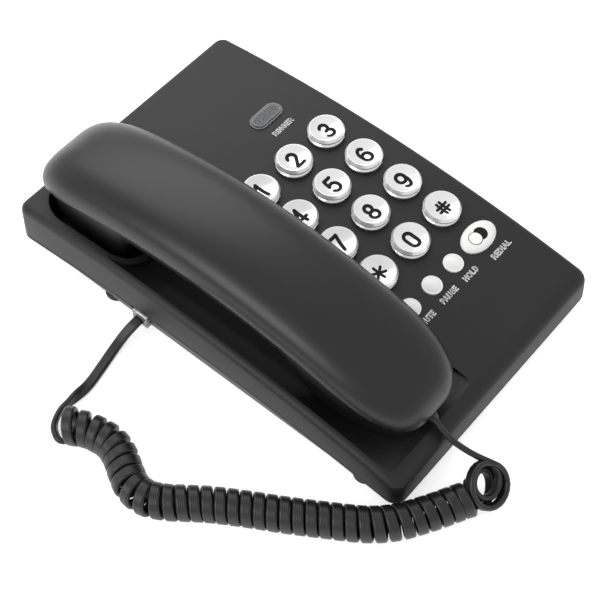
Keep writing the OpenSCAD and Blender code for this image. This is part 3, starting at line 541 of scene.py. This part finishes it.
def stroke_mesh(lines, width, verts, faces, cap=6, same_point=1e-6):
    """Flat strips with round ends along the lines, fine enough to lie on a dome."""
    for line in lines:
        fine = [line[0]]
        for a, b in zip(line, line[1:]):
            d = math.dist(a, b)
            if d < same_point:
                continue
            n = max(1, round(2 * d / width))
            fine += [(a[0] + (b[0] - a[0]) * k / n, a[1] + (b[1] - a[1]) * k / n)
                     for k in range(1, n + 1)]
        closed = math.dist(fine[0], fine[-1]) < same_point
        for i in range(len(fine) - 1):
            (ax, ay), (bx, by) = fine[i], fine[i + 1]
            d = math.dist(fine[i], fine[i + 1])
            nx, ny = -(by - ay) / d * width / 2, (bx - ax) / d * width / 2
            k = len(verts)
            verts += [(ax + nx, ay + ny), (ax, ay), (ax - nx, ay - ny),
                      (bx - nx, by - ny), (bx, by), (bx + nx, by + ny)]
            faces += [(k, k + 1, k + 4, k + 5), (k + 1, k + 2, k + 3, k + 4)]
        for p in fine if not closed else fine[:-1]:
            k = len(verts)
            sides = 2 * cap
            verts.append(p)
            verts += [(p[0] + width / 2 * math.cos(math.pi * s / cap),
                       p[1] + width / 2 * math.sin(math.pi * s / cap)) for s in range(sides)]
            faces += [(k, k + 1 + s, k + 1 + (s + 1) % sides) for s in range(sides)]


# a dial key's rim over the cover, and the depth and radius of its dish
KEY_H, KEY_DISH, DISH_R = 3.9, 1.5, 6.76
# a digit's height, its place from the key's middle, its lift over the face, and the widths of strokes
DIGIT_H, DIGIT_AT, DIGIT_LIFT = 7.2, (-0.2, -0.5), 0.12
DIGIT_STROKE, SIGN_STROKE = 1.5, 1.2
# the redial button: half its length and width, and its height over the cover by distance from its edge
REDIAL_A, REDIAL_B = 9.3, 6
REDIAL_STEPS = [(0, 0.35), (0.35, 0.8), (1.2, 1.25), (2.4, 1.5), (4, 1.6), (6, 1.6)]
# the redial button's printed discs: name, place along the button, radius, lift, material, slot
DISCS = [("redial_dark_disc", 1.1, 3.0, 0.05, "ink_black", "part_black"),
         ("redial_disc_edge", -2.3, 3.0, 0.10, "ink_black", "part_black"),
         ("redial_light_disc", -2.3, 2.72, 0.15, "ink_white", "button_pearl")]
# the printed words: their left and right ends, and the line that they stand on
LABELS = [("RINGER", 30.6, 42.1, 39.0), ("REDIAL", 41.2, 52.2, -67.3), ("HOLD", 25.0, 32.9, -65.0),
          ("PAUSE", 10.6, 19.9, -64.6), ("MUTE", -2.6, 4.9, -64.8)]
# their height, the share of its advance that a letter fills, stroke, side gap and lift over the cover
LABEL_H, LABEL_FILL, LABEL_STROKE, LABEL_GAP, LABEL_LIFT = 2.1, 0.84, 0.64, 0.1, 0.03
# the lens's patterned field: middle, height, straight half and end radius; a prism's width and height
LENS_AT, LENS_TOP, LENS_HALF, LENS_END = (36.5, 49.5), 1.08, 4.3, 2.4
PRISM_W, PRISM_H = 1.05, 0.4


def key_face(x, y):
    """Height of a key's dished face over the cover at (x, y) from its middle."""
    ball = (DISH_R ** 2 + KEY_DISH ** 2) / (2 * KEY_DISH)
    return KEY_H - KEY_DISH + ball - math.sqrt(ball ** 2 - x * x - y * y)


def redial_face(x, y):
    """Height of the redial button over the cover at (x, y) from its middle."""
    inset = REDIAL_B * (1 - min(1, math.hypot(x / REDIAL_A, y / REDIAL_B)))
    for (d0, h0), (d1, h1) in zip(REDIAL_STEPS, REDIAL_STEPS[1:]):
        if inset <= d1:
            return h0 + (h1 - h0) * (inset - d0) / (d1 - d0)
    return REDIAL_STEPS[-1][1]


def add_disc(mats, name, x0, r, lift, ink, slot, sides=40, rings=4):
    """A printed disc on the redial button, x0 from its middle."""
    place = on_top(COLUMNS[-1], BUTTONS_Y)
    flat = [(x0, 0.0)]
    flat += [(x0 + r * k / rings * math.cos(2 * math.pi * s / sides),
              r * k / rings * math.sin(2 * math.pi * s / sides))
             for k in range(1, rings + 1) for s in range(sides)]
    faces = [(0, 1 + s, 1 + (s + 1) % sides) for s in range(sides)]
    for k in range(rings - 1):
        a, b = 1 + k * sides, 1 + (k + 1) * sides
        faces += [(a + s, b + s, b + (s + 1) % sides, a + (s + 1) % sides) for s in range(sides)]
    verts = [place @ Vector((x, y, redial_face(x, y) + lift)) for x, y in flat]
    mesh_object(name, verts, faces, mats[ink], "redial_button")


def add_digits(mats):
    """The character on each dial key, laid in its dished face."""
    for i, (name, strokes) in enumerate(DIGITS.items()):
        row, column = divmod(i, len(COLUMNS))
        place = on_top(COLUMNS[column], ROWS[row])
        width = SIGN_STROKE if name in ("star", "hash") else DIGIT_STROKE
        lines = [[(x * DIGIT_H, y * DIGIT_H) for x, y in line] for line in strokes]
        flat, faces = [], []
        stroke_mesh(lines, width, flat, faces)
        flat = [(x + DIGIT_AT[0], y + DIGIT_AT[1]) for x, y in flat]
        verts = [place @ Vector((x, y, key_face(x, y) + DIGIT_LIFT)) for x, y in flat]
        mesh_object("digit_" + name, verts, faces, mats["ink_black"], "key_" + name)


def add_label(mats, word, x0, x1, y):
    """A word in capitals on the cover, from x0 to x1, with its foot at y."""
    widths = [LETTERS[c][0] for c in word]
    scale_x = (x1 - x0) / (sum(widths) - LABEL_GAP - (1 - LABEL_FILL) * widths[-1])
    flat, faces = [], []
    x = x0
    for c, w in zip(word, widths):
        lines = [[(x + px * scale_x * LABEL_FILL, py * LABEL_H) for px, py in line]
                 for line in LETTERS[c][1]]
        stroke_mesh(lines, LABEL_STROKE, flat, faces)
        x += w * scale_x
    verts = [(px, y + py, top_z(y + py) + LABEL_LIFT) for px, py in flat]
    mesh_object("label_" + word.lower(), verts, faces, mats["ink_white"], "base")


def add_prisms(mats):
    """Small pyramids, side by side on the ringer lens."""
    place = on_top(*LENS_AT)
    corners = ((-1, -1), (1, -1), (1, 1), (-1, 1))
    most_x, most_y = int((LENS_HALF + LENS_END) / PRISM_W), int(LENS_END / PRISM_W)
    verts, faces = [], []
    for i in range(-most_x, most_x + 1):
        for j in range(-most_y, most_y + 1):
            x, y = i * PRISM_W, j * PRISM_W
            if math.hypot(max(0, abs(x) - LENS_HALF), y) > LENS_END:
                continue
            k = len(verts)
            verts += [place @ Vector((x + a * PRISM_W / 2, y + b * PRISM_W / 2, LENS_TOP))
                      for a, b in corners]
            verts.append(place @ Vector((x, y, LENS_TOP + PRISM_H)))
            faces += [(k + a, k + (a + 1) % 4, k + 4) for a in range(4)]
            faces.append((k + 3, k + 2, k + 1, k))
    mesh_object("lens_prisms", verts, faces, mats["clear_lens"], "base", smooth=False)


# ---------------------------------------------------------------- stage and light
# in metres and watts; a lamp is its name, place, aim, size and power
LAMPS = [("behind", (0.55, 0.95, 1.0), (0, 0, 0), (1.2, 0.9), 6),
         ("left", (-1.1, 0.35, 0.9), (-0.02, 0, 0.03), (0.9, 0.7), 7)]
# the world's strength as light on the object, and as it is seen
WORLD_LIGHT, WORLD_SEEN = 0.85, 0.9
# the floor: half its side, its height under the soles, its colour, and the glow that is only seen
FLOOR_HALF, FLOOR_Z, FLOOR_COLOUR, FLOOR_GLOW = 3.0, -0.0002, (0.9, 0.9, 0.9, 1), 0.6


def seen_ray(tree):
    """1 for a ray that the camera, a gloss or a clear part sends out, else 0."""
    path = tree.nodes.new("ShaderNodeLightPath")
    out = path.outputs["Is Camera Ray"]
    for kind in ("Is Glossy Ray", "Is Transmission Ray"):
        most = tree.nodes.new("ShaderNodeMath")
        most.operation = "MAXIMUM"
        tree.links.new(out, most.inputs[0])
        tree.links.new(path.outputs[kind], most.inputs[1])
        out = most.outputs[0]
    return out


def add_stage():
    mesh = bpy.data.meshes.new("floor")
    corners = [(x * FLOOR_HALF, y * FLOOR_HALF, 0) for x, y in ((-1, -1), (1, -1), (1, 1), (-1, 1))]
    mesh.from_pydata(corners, [], [(0, 1, 2, 3)])
    floor = bpy.data.objects.new("floor", mesh)
    bpy.context.collection.objects.link(floor)
    mat, tree, shader = node_material("floor")
    shader.inputs["Base Color"].default_value = FLOOR_COLOUR
    shader.inputs["Roughness"].default_value = 0.9
    shader.inputs["Specular IOR Level"].default_value = 0.1
    shader.inputs["Emission Color"].default_value = (1, 1, 1, 1)
    tree.links.new(remap(tree, seen_ray(tree), 0, FLOOR_GLOW), shader.inputs["Emission Strength"])
    mesh.materials.append(mat)
    floor.location.z = FLOOR_Z


def add_lamp(name, at, to, size, power):
    data = bpy.data.lights.new(name, "AREA")
    data.shape = "RECTANGLE"
    data.size, data.size_y = size
    data.energy = power
    lamp = bpy.data.objects.new(name, data)
    bpy.context.collection.objects.link(lamp)
    lamp.location = at
    lamp.rotation_euler = (Vector(to) - Vector(at)).to_track_quat("-Z", "Y").to_euler()


def add_world():
    world = bpy.data.worlds.new("world")
    bpy.context.scene.world = world
    world.use_nodes = True
    tree = world.node_tree
    back = tree.nodes["Background"]
    back.inputs["Color"].default_value = (1, 1, 1, 1)
    tree.links.new(remap(tree, seen_ray(tree), WORLD_LIGHT, WORLD_SEEN), back.inputs["Strength"])


# ---------------------------------------------------------------- the scene
add_camera()
mats = make_materials()
dress_nodes(mats)
turns, turns_across = coil_points()
add_curly_cord(turns, turns_across, mats["cord_black"])
add_free_end(turns, turns_across, mats["cord_black"])
add_digits(mats)
add_prisms(mats)
for disc in DISCS:
    add_disc(mats, *disc)
for label in LABELS:
    add_label(mats, *label)
add_stage()
add_world()
for lamp in LAMPS:
    add_lamp(*lamp)
bpy.context.scene.view_settings.view_transform = "Standard"
